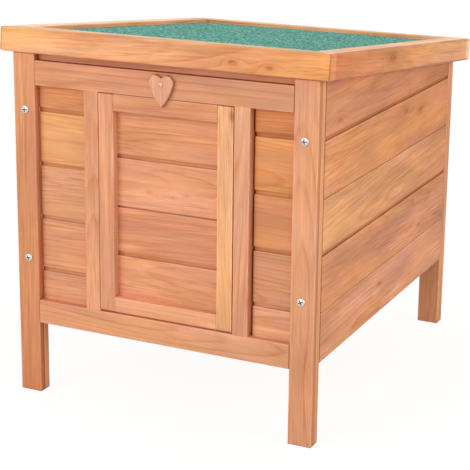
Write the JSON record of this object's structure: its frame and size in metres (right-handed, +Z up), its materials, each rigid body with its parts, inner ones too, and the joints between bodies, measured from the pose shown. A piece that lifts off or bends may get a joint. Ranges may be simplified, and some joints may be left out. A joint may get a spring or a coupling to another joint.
{
  "type": "raised rabbit hutch",
  "caption": "Small raised wooden hutch: boarded cabin on four legs, framed drop-down front door with a heart-shaped turn button, hinged felt-covered sloping roof.",
  "frame": {"origin": "middle of the whole hutch's outline in plan, on the ground under the legs", "axes": "+X to the right seen from the front, +Y from the front to the back, +Z up"},
  "size_m": [0.4284, 0.5282, 0.4646],
  "materials": {
    "stained_fir": "fir with an orange-brown stain, planed",
    "plywood": "plain softwood plywood",
    "roof_felt": "green mineral-surfaced bitumen felt",
    "screw_steel": "zinc-plated"
  },
  "bodies": {
    "hutch_body": {"front_left_post": "stained_fir", "front_right_post": "stained_fir", "rear_left_post": "stained_fir", "rear_right_post": "stained_fir", "left_front_stile": "stained_fir", "right_front_stile": "stained_fir", "left_rear_stile": "stained_fir", "right_rear_stile": "stained_fir", "front_top_rail": "stained_fir", "front_bottom_rail": "stained_fir", "rear_top_rail": "stained_fir", "rear_bottom_rail": "stained_fir", "left_jamb": "stained_fir", "right_jamb": "stained_fir", "front_boards_1": "stained_fir", "front_boards_2": "stained_fir", "front_boards_3": "stained_fir", "front_boards_4": "stained_fir", "front_boards_5": "stained_fir", "header_board": "stained_fir", "sill_board": "stained_fir", "door_stop": "stained_fir", "left_side_board_1": "stained_fir", "left_side_board_2": "stained_fir", "left_side_board_3": "stained_fir", "left_side_board_4": "stained_fir", "left_side_board_5": "stained_fir", "right_side_board_1": "stained_fir", "right_side_board_2": "stained_fir", "right_side_board_3": "stained_fir", "right_side_board_4": "stained_fir", "right_side_board_5": "stained_fir", "rear_boards": "stained_fir", "floor_panel": "plywood", "floor_battens": "stained_fir", "corner_battens": "stained_fir", "corner_screws": "screw_steel", "door_pivot_pins": "screw_steel", "heart_screw": "screw_steel", "hinge_fixed_leaves": "screw_steel", "hinge_fixed_screws": "screw_steel", "hinge_pins": "screw_steel"},
    "door": {"door_left_stile": "stained_fir", "door_right_stile": "stained_fir", "door_top_rail": "stained_fir", "door_bottom_rail": "stained_fir", "door_board_1": "stained_fir", "door_board_2": "stained_fir", "door_board_3": "stained_fir", "door_board_4": "stained_fir"},
    "turn_button": {"heart_button": "stained_fir"},
    "roof": {"roof_front_member": "stained_fir", "roof_rear_member": "stained_fir", "roof_left_member": "stained_fir", "roof_right_member": "stained_fir", "roof_deck": "plywood", "roof_felt": "roof_felt", "roof_batten": "stained_fir", "hinge_moving_leaves": "screw_steel", "hinge_moving_screws": "screw_steel"}
  },
  "joints": [
    {"name": "door_drop", "type": "hinge", "parent": "hutch_body", "child": "door", "pos_m": [0.0075, -0.2509, 0.1285], "axis": [1, 0, 0], "range_deg": [0, 90]},
    {"name": "button_turn", "type": "hinge", "parent": "hutch_body", "child": "turn_button", "pos_m": [0.0058, -0.2592, 0.4126], "axis": [0, 1, 0], "range_deg": [-135, 135]},
    {"name": "roof_lift", "type": "hinge", "parent": "hutch_body", "child": "roof", "pos_m": [0, 0.2404, 0.38032], "axis": [-1, 0, 0], "range_deg": [0, 95]}
  ]
}
